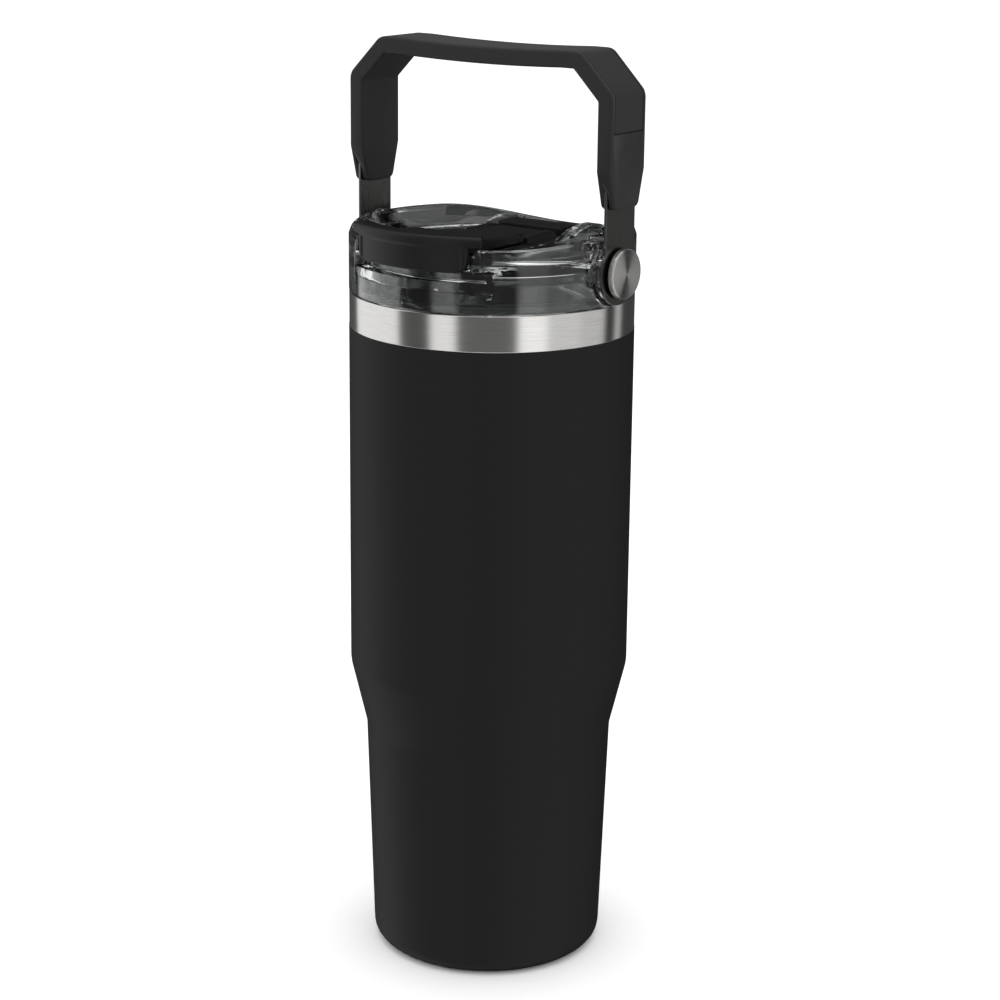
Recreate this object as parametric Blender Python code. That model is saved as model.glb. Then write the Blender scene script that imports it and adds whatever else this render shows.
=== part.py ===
"""Insulated travel mug with a screw lid, a flip-up sip cap and a carrying bail.

Metres, +Z up. The origin is the centre of the foot, X is the bail's pivot axis
and the sip cap faces -Y. Every moving piece has its origin on its joint's axis.
"""

from math import atan2, cos, pi, radians, sin, sqrt

import bmesh
import bpy
from mathutils import Matrix, Vector

SIDES = ((1, "right"), (-1, "left"))
GAP = 0.0003                    # clearance kept between pieces that touch
CUT = 0.0012                    # a cutter runs past what it cuts by this much
ROUND = 40                      # facets of the large turned pieces
SMALL_ROUND = 24                # facets of the pivot hardware

# Mug body
BODY_R = 0.0460
BODY_TOP = 0.2237               # where the steel ends and the lid begins
SHOULDER_TOP = 0.0993           # upper end of the step down to the base
SHOULDER_BOTTOM = 0.0774
LOWER_R = 0.0407                # just below the step
FOOT_R = 0.0384                 # near the table, above the foot's rounding
FOOT_ROUND = 0.0055
FOOT_RING_R = 0.0270            # inner edge of the ring that the mug stands on
STEEL = 0.0008                  # wall of shell and liner
LIP_INNER_R = 0.0434            # the shell's rolled lip ends here
MOUTH_R = 0.0410                # clear radius of the mouth and the bore

# Lid
LID_BOTTOM = BODY_TOP + GAP
RIM_TOP = 0.2446
RIM_FRONT_DROP = 0.0010         # the rim is this much lower under the cap
RIM_FRONT_REACH = (radians(45), radians(75))
RIM_DIP = 0.0052                # how far the rim is lowered at the back
RIM_DIP_REACH = radians(61)     # and how far round from the back
LID_WALL = 0.0028
DECK_TOP = 0.2382
DECK_UNDER = 0.2354
RECESS_R = 0.0409               # the front of the rim is cut back to here
RECESS_FLOOR = 0.2338
RECESS_HALF_ANGLE = radians(32.0)
FRONT_WALL_R = 0.0396           # inside of the wall that is left behind the recess
FRONT_WALL_TOP = 0.2424
NECK_SLOT_HALF = 0.0164         # that wall is open this far for the cap's neck
CHEEK_X = (0.0131, 0.0186)      # the clear cheek beside the hinge, on each side
CHEEK_TOP = 0.2423
BOSS_R = 0.0104                 # boss that carries an end of the bail
BOSS_STEP_R = 0.0090
INSERT_BOSS_R = 0.0064
INSERT_R = (0.0025, 0.0036)     # threaded insert, inside and outside
BOSS_X = (0.0392, 0.0440, 0.0476)   # insert boss, rim wall and step end at these
SIP_Y = -0.0310                 # centre of the drinking hole
SIP_HALF = (0.0080, 0.0030)
PLUG_R = 0.0386
PLUG_BOTTOM = 0.2038
THREAD_R = 0.0402

# Sip cap and its cradle
CAP_PIVOT = Vector((0.0, 0.0085, 0.2386))
CAP_R = (0.0412, 0.0470)        # inner and outer radius of its front flange
SKIRT_INNER_R = 0.0452
LIP_BOTTOM = 0.2444
LIP_HALF_ANGLE = radians(32.5)
SKIRT_HALF_ANGLE = radians(26.4)
SKIRT_BOTTOM = 0.2366
CAP_TOP = 0.2480
ARM_HALF = 0.0123
KNUCKLE_HALF = 0.0094
CRADLE_HALF = 0.0125
CRADLE_Y = (-0.0266, 0.0310)
CRADLE_FLOOR = 0.2276
CRADLE_TOP = 0.2394
EAR_TOP = 0.2418
TAIL_TOP = 0.2420
CAP_PIN_R = 0.0015

# Bail
BAIL_PIVOT_Z = 0.2343
BAIL_X = 0.0484                 # middle of the strap's leg
STRAP_T = 0.0010
STRAP_HALF = 0.00775
STRAP_EYE_R = 0.0100
STRAP_HOLE_R = 0.0042
BAR_Z = 0.29945                 # middle of the top bar
CHAMFER = 0.0108                # the bail's corners are cut off this far
GRIP_T = 0.0053
GRIP_HALF = 0.0096
GRIP_BOTTOM = 0.2544
TAPER_TOP = 0.2667
PAD_BOTTOM = 0.2780
PAD_HALF = 0.0076
PAD_T = 0.0008
PAD_DEPTH = 0.0010              # of the groove that the pad lies in

# Pivot hardware
HEAD_R = 0.0080
HEAD_X = (0.0498, 0.0517)       # the screw head's inner and outer face
SHOULDER_R = 0.0039
SHOULDER_X = 0.0479             # the shoulder stops against the lid's boss here
SHANK_R = 0.0022
SHANK_X = 0.0402
WASHER_R = (0.0042, 0.0070)
WASHER_X = (0.0491, 0.0495)
INSERT_X = (0.0396, 0.0474)


# ---------------------------------------------------------------- tools

def material(name, colour, roughness, metallic=0.0, alpha=1.0):
    made = bpy.data.materials.new(name)
    made.use_nodes = True
    made.diffuse_color = (*colour, alpha)
    shader = made.node_tree.nodes["Principled BSDF"]
    shader.inputs["Base Color"].default_value = (*colour, 1.0)
    shader.inputs["Roughness"].default_value = roughness
    shader.inputs["Metallic"].default_value = metallic
    shader.inputs["Alpha"].default_value = alpha
    return made


def shifted(outline_shift):
    """A turned piece's shaping that moves it off the Z axis."""
    def shift(vert):
        vert.co += Vector((*outline_shift, 0.0))
    return shift


def new_object(name, build, finish, origin=(0.0, 0.0, 0.0)):
    """An object from a bmesh in world coordinates, with its origin put at origin."""
    bmesh.ops.remove_doubles(build, verts=build.verts, dist=1e-7)
    bmesh.ops.recalc_face_normals(build, faces=build.faces)
    build.transform(Matrix.Translation(-Vector(origin)))
    mesh = bpy.data.meshes.new(name)
    build.to_mesh(mesh)
    build.free()
    mesh.shade_smooth()
    mesh.set_sharp_from_angle(angle=radians(30))
    made = bpy.data.objects.new(name, mesh)
    made.location = origin
    bpy.context.scene.collection.objects.link(made)
    if finish:
        mesh.materials.append(finish)
    return made


def turned(name, outline, finish, segments=ROUND, origin=(0.0, 0.0, 0.0), shape=None):
    """A solid of revolution about +Z. The outline is a closed loop of (r, z)."""
    build = bmesh.new()
    rings = []
    for radius, height in outline:
        if radius < 1e-6:
            rings.append([build.verts.new((0.0, 0.0, height))])
            continue
        ring = []
        for step in range(segments):
            angle = 2 * pi * step / segments
            ring.append(build.verts.new((radius * cos(angle), radius * sin(angle), height)))
        rings.append(ring)
    for ring, after in zip(rings, rings[1:] + rings[:1]):
        if len(ring) == 1 and len(after) == 1:
            continue
        for step in range(segments):
            nxt = (step + 1) % segments
            corners = [ring[step % len(ring)], ring[nxt % len(ring)],
                       after[nxt % len(after)], after[step % len(after)]]
            build.faces.new(list(dict.fromkeys(corners)))
    if shape:
        for vert in build.verts:
            shape(vert)
    return new_object(name, build, finish, origin)


def extruded(name, outline, axis, low, high, finish, origin=(0.0, 0.0, 0.0)):
    """A prism. The outline is in the plane across the axis, in X, Y, Z order."""
    build = bmesh.new()
    ends = []
    for along in (low, high):
        ring = []
        for first, second in outline:
            point = {"X": (along, first, second), "Y": (first, along, second),
                     "Z": (first, second, along)}[axis]
            ring.append(build.verts.new(point))
        ends.append(ring)
    count = len(outline)
    for step in range(count):
        nxt = (step + 1) % count
        build.faces.new((ends[0][step], ends[0][nxt], ends[1][nxt], ends[1][step]))
    build.faces.new(ends[0])
    build.faces.new(ends[1])
    return new_object(name, build, finish, origin)


def cross_bar(name, outline, side, near, far, finish=None):
    """A prism along X on one side, its ends given as distances from the middle plane."""
    return extruded(name, outline, "X", *sorted((side * near, side * far)), finish)


def disc_outline(centre, radius, segments):
    return [(centre[0] + radius * cos(2 * pi * (step + 0.5) / segments),
             centre[1] + radius * sin(2 * pi * (step + 0.5) / segments))
            for step in range(segments)]


def box(name, low, high, finish=None):
    outline = [(low[0], low[1]), (high[0], low[1]), (high[0], high[1]), (low[0], high[1])]
    return extruded(name, outline, "Z", low[2], high[2], finish)


def arc(centre, radius, start, end, steps):
    """Points (r, z) along an arc, angles in degrees from the radial direction."""
    return [(centre[0] + radius * cos(radians(start + (end - start) * step / steps)),
             centre[1] + radius * sin(radians(start + (end - start) * step / steps)))
            for step in range(steps + 1)]


def combine(base, other, operation):
    """A Boolean on base. The other object stays in the file as a hidden wire."""
    cut = base.modifiers.new(f"{operation.lower()} {other.name}", "BOOLEAN")
    cut.operation = operation
    cut.object = other
    cut.solver = "EXACT"
    other.hide_render = True
    other.display_type = "WIRE"


def hang_on(parent, *pieces):
    """Parents pieces to an empty on the joint's axis, keeping them in place."""
    for piece in pieces:
        piece.parent = parent
        piece.matrix_parent_inverse = Matrix.Translation(-parent.location)


def empty(name, place):
    made = bpy.data.objects.new(name, None)
    made.empty_display_size = 0.01
    made.location = place
    bpy.context.scene.collection.objects.link(made)
    return made


# ---------------------------------------------------------------- mug body

def shell_outline(inset):
    """The tapered outside of the mug from the foot's rounding up, moved in by inset."""
    foot = arc((FOOT_R - FOOT_ROUND, FOOT_ROUND), FOOT_ROUND - inset, -90, -6, 4)
    blend = 0.0022
    return foot + [
        (LOWER_R - inset - 0.0001, SHOULDER_BOTTOM - blend),
        (LOWER_R - inset + 0.0004, SHOULDER_BOTTOM),
        (BODY_R - inset - 0.0005, SHOULDER_TOP - blend / 2),
        (BODY_R - inset, SHOULDER_TOP + blend),
    ]


def make_body(paint, steel, bare_steel):
    lip_under = BODY_TOP - STEEL
    outside = shell_outline(0.0)
    inside = shell_outline(STEEL)
    outer_shell = turned("outer_shell", [
        (FOOT_RING_R, 0.0), *outside, (BODY_R, BODY_TOP - 0.0006), (BODY_R - 0.0006, BODY_TOP),
        (LIP_INNER_R, BODY_TOP), (LIP_INNER_R, lip_under), (BODY_R - STEEL, lip_under),
        *reversed(inside), (FOOT_RING_R, STEEL),
    ], paint)
    lip_r = LIP_INNER_R - GAP
    wall = STEEL
    liner_bottom = 0.0095
    liner = turned("inner_liner", [
        (lip_r, BODY_TOP), (lip_r, lip_under - 0.0008), (MOUTH_R + wall, BODY_TOP - 0.0035),
        (MOUTH_R + wall, SHOULDER_TOP + 0.0022),
        (LOWER_R - 0.0050 + wall, SHOULDER_BOTTOM - 0.0010),
        (FOOT_R - 0.0048 + wall, liner_bottom + 0.0070),
        (FOOT_R - 0.0075 + wall, liner_bottom + 0.0010),
        (FOOT_R - 0.0115, liner_bottom - wall), (0.0, liner_bottom - wall),
        (0.0, liner_bottom), (FOOT_R - 0.0115, liner_bottom),
        (FOOT_R - 0.0075, liner_bottom + 0.0020),
        (FOOT_R - 0.0048, liner_bottom + 0.0072),
        (LOWER_R - 0.0050, SHOULDER_BOTTOM), (MOUTH_R, SHOULDER_TOP + 0.0024),
        (MOUTH_R, 0.2040), (MOUTH_R - 0.0005, 0.2048), (MOUTH_R - 0.0005, 0.2056),
        (MOUTH_R, 0.2064), (MOUTH_R, 0.2094), (MOUTH_R - 0.0005, 0.2102),
        (MOUTH_R - 0.0005, 0.2110), (MOUTH_R, 0.2118), (MOUTH_R, BODY_TOP - 0.0030),
        (MOUTH_R + 0.0012, BODY_TOP),
    ], bare_steel)
    base_plate = turned("base_plate", [
        (FOOT_RING_R - GAP, 0.0004), (FOOT_RING_R - GAP, 0.0016), (FOOT_RING_R - 0.0026, 0.0030),
        (0.0085, 0.0030), (0.0070, 0.0040), (0.0, 0.0040), (0.0, 0.0030), (0.0064, 0.0030),
        (0.0079, 0.0020), (FOOT_RING_R - 0.0030, 0.0020), (FOOT_RING_R - 0.0012, 0.0004),
    ], steel)
    vacuum_cap = turned("vacuum_cap", [
        (0.0, 0.0027), (0.0056, 0.0027), (0.0062, 0.0021), (0.0062, 0.0018), (0.0050, 0.0014),
        (0.0, 0.0014),
    ], steel, segments=SMALL_ROUND)
    return [outer_shell, liner, base_plate, vacuum_cap]


# ---------------------------------------------------------------- lid

def dip_rim(vert):
    """Lowers the rim in a long curve at the back, and a little under the cap at the front."""
    above_deck = vert.co.z - DECK_TOP
    if above_deck < 1e-6:
        return
    from_back = abs(atan2(vert.co.x, vert.co.y))
    near, far = RIM_FRONT_REACH
    rise = min(max((pi - from_back - near) / (far - near), 0.0), 1.0)
    drop = RIM_FRONT_DROP * (1 - rise * rise * (3 - 2 * rise))
    if from_back < RIM_DIP_REACH:
        drop = RIM_DIP * (1 + cos(pi * from_back / RIM_DIP_REACH)) / 2
    vert.co.z = DECK_TOP + above_deck * (1 - drop / (RIM_TOP - DECK_TOP))


def sector_outline(low_r, high_r, half_angle, steps):
    """A ring sector about the Z axis, in plan, centred on -Y."""
    angles = [-pi / 2 - half_angle + 2 * half_angle * step / steps for step in range(steps + 1)]
    outer = [(high_r * cos(angle), high_r * sin(angle)) for angle in angles]
    inner = [(low_r * cos(angle), low_r * sin(angle)) for angle in reversed(angles)]
    return outer + inner


CHEEK = [(0.0155, 0.2370), (0.0160, 0.2384), (0.0219, 0.2408), (0.0260, CHEEK_TOP - 0.0005),
         (0.0295, CHEEK_TOP), (0.0335, CHEEK_TOP), (0.0360, CHEEK_TOP - 0.0012),
         (0.0370, 0.2390), (0.0370, 0.2370)]


def make_lid(clear, inner_plastic, silicone):
    skirt_r = BODY_R - LID_WALL
    cover = turned("lid_cover", [
        (0.0, DECK_TOP), (RECESS_R - 0.0002, DECK_TOP), (0.0422, DECK_TOP + 0.0018),
        (0.0430, RIM_TOP - 0.0008), (0.0438, RIM_TOP), (BODY_R - 0.0009, RIM_TOP),
        (BODY_R, RIM_TOP - 0.0010), (BODY_R, LID_BOTTOM), (skirt_r, LID_BOTTOM),
        (skirt_r, 0.2310), (0.0412, 0.2338), (0.0394, DECK_UNDER), (0.0, DECK_UNDER),
    ], clear, shape=dip_rim)
    inner_x, wall_x, step_x = BOSS_X
    discs = (("boss", BOSS_R, wall_x, BODY_R, "UNION"),
             ("step", BOSS_STEP_R, wall_x, step_x, "UNION"),
             ("insert_boss", INSERT_BOSS_R, inner_x, wall_x, "UNION"),
             ("insert_hole", INSERT_R[1] + GAP, inner_x - CUT, step_x + CUT, "DIFFERENCE"))
    for side, name in SIDES:
        combine(cover, cross_bar(f"cheek_{name}", CHEEK, side, *CHEEK_X), "UNION")
        for label, radius, near, far, operation in discs:
            disc = disc_outline((0.0, BAIL_PIVOT_Z), radius, SMALL_ROUND)
            combine(cover, cross_bar(f"{label}_{name}", disc, side, near, far), operation)
    front_wall = sector_outline(FRONT_WALL_R, skirt_r + 0.0006, RECESS_HALF_ANGLE + radians(3.3),
                                17)
    combine(cover, extruded("front_wall", front_wall, "Z", 0.2300, FRONT_WALL_TOP, None), "UNION")
    recess = extruded("front_recess", sector_outline(RECESS_R, 0.0500, RECESS_HALF_ANGLE, 16),
                      "Z", RECESS_FLOOR, 0.2500, None)
    combine(cover, recess, "DIFFERENCE")
    combine(cover, box("neck_slot", (-NECK_SLOT_HALF, -BODY_R, DECK_TOP + GAP),
                       (NECK_SLOT_HALF, -0.0300, 0.2500)), "DIFFERENCE")
    combine(cover, box("cradle_slot", (-CRADLE_HALF - GAP, CRADLE_Y[0] - GAP, 0.2300),
                       (CRADLE_HALF + GAP, CRADLE_Y[1] + GAP, 0.2500)), "DIFFERENCE")
    combine(cover, box("sip_slot", (-SIP_HALF[0], SIP_Y - SIP_HALF[1], 0.2300),
                       (SIP_HALF[0], SIP_Y + SIP_HALF[1], 0.2500)), "DIFFERENCE")

    plug = turned("lid_plug", [
        (skirt_r - GAP, 0.2262), (skirt_r - GAP, LID_BOTTOM), (PLUG_R, LID_BOTTOM),
        (PLUG_R, 0.2222), (PLUG_R - 0.0018, 0.2222), (PLUG_R - 0.0018, 0.2182),
        (PLUG_R, 0.2182), (PLUG_R, 0.2162), (THREAD_R, 0.2154), (THREAD_R, 0.2148),
        (PLUG_R, 0.2140), (PLUG_R, 0.2102), (THREAD_R, 0.2094), (THREAD_R, 0.2088),
        (PLUG_R, 0.2080), (PLUG_R, PLUG_BOTTOM + 0.0012), (PLUG_R - 0.0012, PLUG_BOTTOM),
        (0.0, PLUG_BOTTOM), (0.0, PLUG_BOTTOM + 0.0020), (PLUG_R - 0.0040, PLUG_BOTTOM + 0.0020),
        (PLUG_R - 0.0040, 0.2262),
    ], inner_plastic)
    duct_wall = 0.0010
    combine(plug, box("duct_wall",
                      (-SIP_HALF[0] - duct_wall, SIP_Y - SIP_HALF[1] - duct_wall, 0.2045),
                      (SIP_HALF[0] + duct_wall, SIP_Y + SIP_HALF[1] + duct_wall,
                       DECK_UNDER - GAP)), "UNION")
    combine(plug, box("duct_bore", (-SIP_HALF[0], SIP_Y - SIP_HALF[1], 0.2000),
                      (SIP_HALF[0], SIP_Y + SIP_HALF[1], 0.2400)), "DIFFERENCE")
    vent_at = (0.0, 0.0200)
    combine(plug, extruded("vent_hole", disc_outline(vent_at, 0.0016, 12), "Z", 0.2030, 0.2070,
                           None), "DIFFERENCE")
    floor_top = PLUG_BOTTOM + 0.0020
    vent = turned("vent_valve", [
        (0.0, floor_top + 0.0020), (0.0024, floor_top + 0.0020), (0.0026, floor_top + GAP),
        (0.0012, floor_top + GAP), (0.0012, PLUG_BOTTOM - GAP), (0.0052, PLUG_BOTTOM - GAP),
        (0.0048, PLUG_BOTTOM - 0.0011), (0.0, PLUG_BOTTOM - 0.0015),
    ], silicone, segments=16, shape=shifted(vent_at))
    gasket = turned("lid_gasket", [
        (PLUG_R - 0.0018 + GAP, 0.2219), (0.0398, 0.2219), (0.0407, 0.2212), (0.0398, 0.2205),
        (0.0398, 0.2199), (0.0407, 0.2192), (0.0398, 0.2185), (PLUG_R - 0.0018 + GAP, 0.2185),
    ], silicone)
    return [cover, plug, vent, gasket]


# ---------------------------------------------------------------- sip cap

def make_cradle(black):
    """The tub in the deck that carries the cap's hinge, with a stop block behind it."""
    tub = box("cap_cradle", (-CRADLE_HALF, CRADLE_Y[0], CRADLE_FLOOR),
              (CRADLE_HALF, CRADLE_Y[1], CRADLE_TOP), black)
    ear_front, ear_back = 0.0020, 0.0176
    ear_round = 0.0024
    ear = [(ear_front, 0.2300), (ear_front, EAR_TOP - 0.0008), (ear_front + 0.0012, EAR_TOP)]
    ear += [(ear_back - ear_round + ear_round * sin(radians(turn)),
             EAR_TOP - ear_round + ear_round * cos(radians(turn))) for turn in (0, 30, 60, 90)]
    ear += [(ear_back, 0.2300)]
    combine(tub, extruded("ears", ear, "X", -CRADLE_HALF + 0.0001, CRADLE_HALF - 0.0001, None),
            "UNION")
    tail = [(0.0200, 0.2300), (0.0200, TAIL_TOP), (CRADLE_Y[1] - 0.0016, TAIL_TOP),
            (CRADLE_Y[1], TAIL_TOP - 0.0016), (CRADLE_Y[1], 0.2300)]
    combine(tub, extruded("stop_block", tail, "X", -CRADLE_HALF + 0.0001, CRADLE_HALF - 0.0001,
                          None), "UNION")
    ledge = box("ledge", (-CRADLE_HALF - 0.0018, CRADLE_Y[0] + 0.0004, 0.2336),
                (CRADLE_HALF + 0.0018, CRADLE_Y[1] + 0.0010, DECK_UNDER - GAP))
    combine(tub, ledge, "UNION")
    wall = 0.0014
    floor = CRADLE_FLOOR + 0.0012
    front_well = box("front_well", (-CRADLE_HALF + wall, CRADLE_Y[0] + wall, 0.2344),
                     (CRADLE_HALF - wall, 0.0000, 0.2450))
    combine(tub, front_well, "DIFFERENCE")
    knuckle_well = box("knuckle_well", (-KNUCKLE_HALF - GAP, -0.0026, floor),
                       (KNUCKLE_HALF + GAP, 0.0184, 0.2450))
    combine(tub, knuckle_well, "DIFFERENCE")
    pin_hole = extruded("cap_pin_hole",
                        disc_outline((CAP_PIVOT.y, CAP_PIVOT.z), CAP_PIN_R + 0.0002, 16),
                        "X", -CRADLE_HALF + 0.0008, CRADLE_HALF - 0.0008, None)
    combine(tub, pin_hole, "DIFFERENCE")
    return tub


def make_cap(black, silicone, steel):
    pivot_y, pivot_z = CAP_PIVOT.y, CAP_PIVOT.z
    steps = 14
    lip = extruded("flip_cap", sector_outline(CAP_R[0], CAP_R[1] - 0.0002, LIP_HALF_ANGLE, steps),
                   "Z", LIP_BOTTOM, CAP_TOP, black, origin=CAP_PIVOT)
    for vert in lip.data.vertices:
        place = Vector((vert.co.x, vert.co.y + pivot_y))
        if vert.co.z + pivot_z > CAP_TOP - 1e-4 and place.length > 0.0440:
            vert.co.xy = Vector((vert.co.x * 0.945, (vert.co.y + pivot_y) * 0.945 - pivot_y))
    skirt = extruded("skirt", sector_outline(SKIRT_INNER_R, CAP_R[1], SKIRT_HALF_ANGLE, steps),
                     "Z", SKIRT_BOTTOM, LIP_BOTTOM + 0.0008, None)
    corner = 0.0036
    for vert in skirt.data.vertices:
        turn = abs(atan2(vert.co.x, -vert.co.y))
        along = (SKIRT_HALF_ANGLE - turn) * CAP_R[1]
        if vert.co.z < SKIRT_BOTTOM + 1e-4 and along < corner:
            vert.co.z += corner - sqrt(max(corner ** 2 - (corner - along) ** 2, 0.0))
    combine(lip, skirt, "UNION")
    arm = [(-0.0425, 0.2398), (-0.0425, CAP_TOP - 0.0004), (-0.0385, CAP_TOP - 0.0006),
           (-0.0300, 0.2452), (-0.0210, 0.2438), (-0.0050, 0.2428), (0.0008, 0.2422),
           (0.0008, 0.2398)]
    combine(lip, extruded("arm", arm, "X", -ARM_HALF, ARM_HALF, None), "UNION")
    neck = [(-0.0160, -0.0425), (0.0160, -0.0425), (0.0160, -0.0290), (0.0122, -0.0235),
            (-0.0122, -0.0235), (-0.0160, -0.0290)]
    combine(lip, extruded("neck", neck, "Z", 0.2397, 0.2450, None), "UNION")
    knuckle_low = 0.0034
    knuckle = [(-0.0020, 0.2421), (0.0160, 0.2414), (0.0170, 0.2404), (0.0170, 0.2392),
               (pivot_y + knuckle_low, pivot_z)]
    knuckle += [(pivot_y + knuckle_low * cos(radians(turn)),
                 pivot_z + knuckle_low * sin(radians(turn)))
                for turn in (-30, -60, -90, -120, -150)]
    knuckle += [(-0.0020, 0.2388)]
    combine(lip, extruded("knuckle", knuckle, "X", -KNUCKLE_HALF, KNUCKLE_HALF, None), "UNION")
    combine(lip, extruded("cap_pin_bore", disc_outline((pivot_y, pivot_z), CAP_PIN_R + 0.0002, 16),
                          "X", -0.0200, 0.0200, None), "DIFFERENCE")
    socket = box("seal_socket", (-0.0040, SIP_Y - 0.0016, 0.2380),
                 (0.0040, SIP_Y + 0.0016, 0.2418))
    combine(lip, socket, "DIFFERENCE")
    seal = extruded("sip_seal", [
        (-0.0086, 0.2385), (-0.0086, 0.2395), (-0.0037, 0.2395), (-0.0037, 0.2415),
        (0.0037, 0.2415), (0.0037, 0.2395), (0.0086, 0.2395), (0.0086, 0.2385),
        (0.0076, 0.2385), (0.0072, 0.2360), (-0.0072, 0.2360), (-0.0076, 0.2385),
    ], "Y", SIP_Y - 0.0037, SIP_Y + 0.0037, silicone, origin=CAP_PIVOT)
    trims = (("plug", 0.2300, 0.2384, 0.0026), ("tab", 0.2396, 0.2450, 0.0013))
    for label, low, high, half in trims:
        for front in (1, -1):
            reach = sorted((SIP_Y + front * half, SIP_Y + front * 0.0060))
            combine(seal, box(f"seal_{label}_trim_{front}", (-0.0200, reach[0], low),
                              (0.0200, reach[1], high)), "DIFFERENCE")
    pin = extruded("cap_pin", disc_outline((pivot_y, pivot_z), CAP_PIN_R, 16), "X",
                   -CRADLE_HALF + 0.0011, CRADLE_HALF - 0.0011, steel)
    return lip, seal, pin


# ---------------------------------------------------------------- bail

def bail_path(bottom_z, radius=0.0030, steps=4):
    """Half of the bail's middle line, as (x, z, normal), from the leg to the bar's middle."""
    top_x = BAIL_X - CHAMFER
    low_z = BAR_Z - CHAMFER
    half_turn = radians(22.5)
    setback = radius * sin(half_turn) / cos(half_turn)
    path = [(BAIL_X, bottom_z, 0.0)]
    for corner, start in (((BAIL_X, low_z), 0), ((top_x, BAR_Z), 45)):
        turned_in = radians(start)
        first = Vector((corner[0] + setback * sin(turned_in), corner[1] - setback * cos(turned_in)))
        centre = first - radius * Vector((cos(turned_in), sin(turned_in)))
        for step in range(steps + 1):
            angle = turned_in + radians(45) * step / steps
            path.append((centre.x + radius * cos(angle), centre.y + radius * sin(angle), angle))
    return path


def swept(name, bottom_z, section, finish, width=None, origin=(0.0, 0.0, 0.0)):
    """A U along the bail's path. The section is a loop of (outward, along Y)."""
    half = bail_path(bottom_z)
    path = half + [(-x, z, pi - angle) for x, z, angle in reversed(half)]
    build = bmesh.new()
    rings = []
    for x, z, angle in path:
        squeeze = width(z) if width else 1.0
        rings.append([build.verts.new((x + out * cos(angle), y * squeeze, z + out * sin(angle)))
                      for out, y in section])
    count = len(section)
    for ring, after in zip(rings, rings[1:]):
        for step in range(count):
            nxt = (step + 1) % count
            build.faces.new((ring[step], ring[nxt], after[nxt], after[step]))
    build.faces.new(rings[0])
    build.faces.new(rings[-1])
    return new_object(name, build, finish, origin)


def flat_section(thickness, half_width, middle=0.0):
    return [(middle - thickness / 2, -half_width), (middle + thickness / 2, -half_width),
            (middle + thickness / 2, half_width), (middle - thickness / 2, half_width)]


def grip_section():
    """A rectangle with rounded outer edges and broken inner ones."""
    half_t, edge, inner = GRIP_T / 2, 0.0014, 0.0008
    corners = []
    for out, y, size in ((half_t, GRIP_HALF, edge), (-half_t, GRIP_HALF, inner)):
        toward = 1 if out > 0 else -1
        if toward > 0:
            corners += [(out, y - size), (out - 0.3 * size, y - 0.3 * size), (out - size, y)]
        else:
            corners += [(out + size, y), (out, y - size)]
    return corners + [(out, -y) for out, y in reversed(corners)]


def make_bail(steel, rubber, pad_rubber):
    axis = Vector((0.0, 0.0, BAIL_PIVOT_Z))
    bail = swept("bail_strap", BAIL_PIVOT_Z + 0.0050, flat_section(STRAP_T, STRAP_HALF), steel,
                 origin=axis)
    for side, name in SIDES:
        eye = disc_outline((0.0, BAIL_PIVOT_Z), STRAP_EYE_R, SMALL_ROUND + 8)
        eye_half = STRAP_T / 2 + 1e-5     # a hair thicker than the strip, so that they join
        combine(bail, cross_bar(f"strap_eye_{name}", eye, side, BAIL_X - eye_half,
                                BAIL_X + eye_half), "UNION")
    for side, name in SIDES:
        hole = disc_outline((0.0, BAIL_PIVOT_Z), STRAP_HOLE_R, SMALL_ROUND)
        combine(bail, cross_bar(f"strap_hole_{name}", hole, side, BAIL_X - CUT, BAIL_X + CUT),
                "DIFFERENCE")

    grip = swept("bail_grip", GRIP_BOTTOM, grip_section(), rubber, origin=axis)
    for side, name in SIDES:
        for front in (1, -1):
            taper = [(front * 0.0130, GRIP_BOTTOM - CUT), (front * 0.0040, GRIP_BOTTOM - CUT),
                     (front * 0.0046, GRIP_BOTTOM + 0.0002), (front * 0.0061, GRIP_BOTTOM + 0.0010),
                     (front * 0.0070, GRIP_BOTTOM + 0.0026), (front * 0.0097, TAPER_TOP),
                     (front * 0.0130, TAPER_TOP + 0.0010)]
            combine(grip, cross_bar(f"taper_{name}_{front}", taper, side, BAIL_X - GRIP_T,
                                    BAIL_X + GRIP_T), "DIFFERENCE")
    combine(grip, swept("strap_channel", GRIP_BOTTOM - 0.0050,
                        flat_section(STRAP_T + 2 * GAP, STRAP_HALF + GAP), None), "DIFFERENCE")
    outer_face = GRIP_T / 2
    combine(grip, swept("pad_recess", PAD_BOTTOM - GAP,
                        flat_section(2 * PAD_DEPTH, PAD_HALF + GAP, outer_face), None),
            "DIFFERENCE")
    pad = swept("grip_pad", PAD_BOTTOM, flat_section(
        PAD_T, PAD_HALF, outer_face - PAD_T / 2), pad_rubber, origin=axis)
    return [bail, grip, pad]


def tube_outline(radii, ends):
    return [(radii[0], ends[1]), (radii[1], ends[1]), (radii[1], ends[0]), (radii[0], ends[0])]


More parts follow.
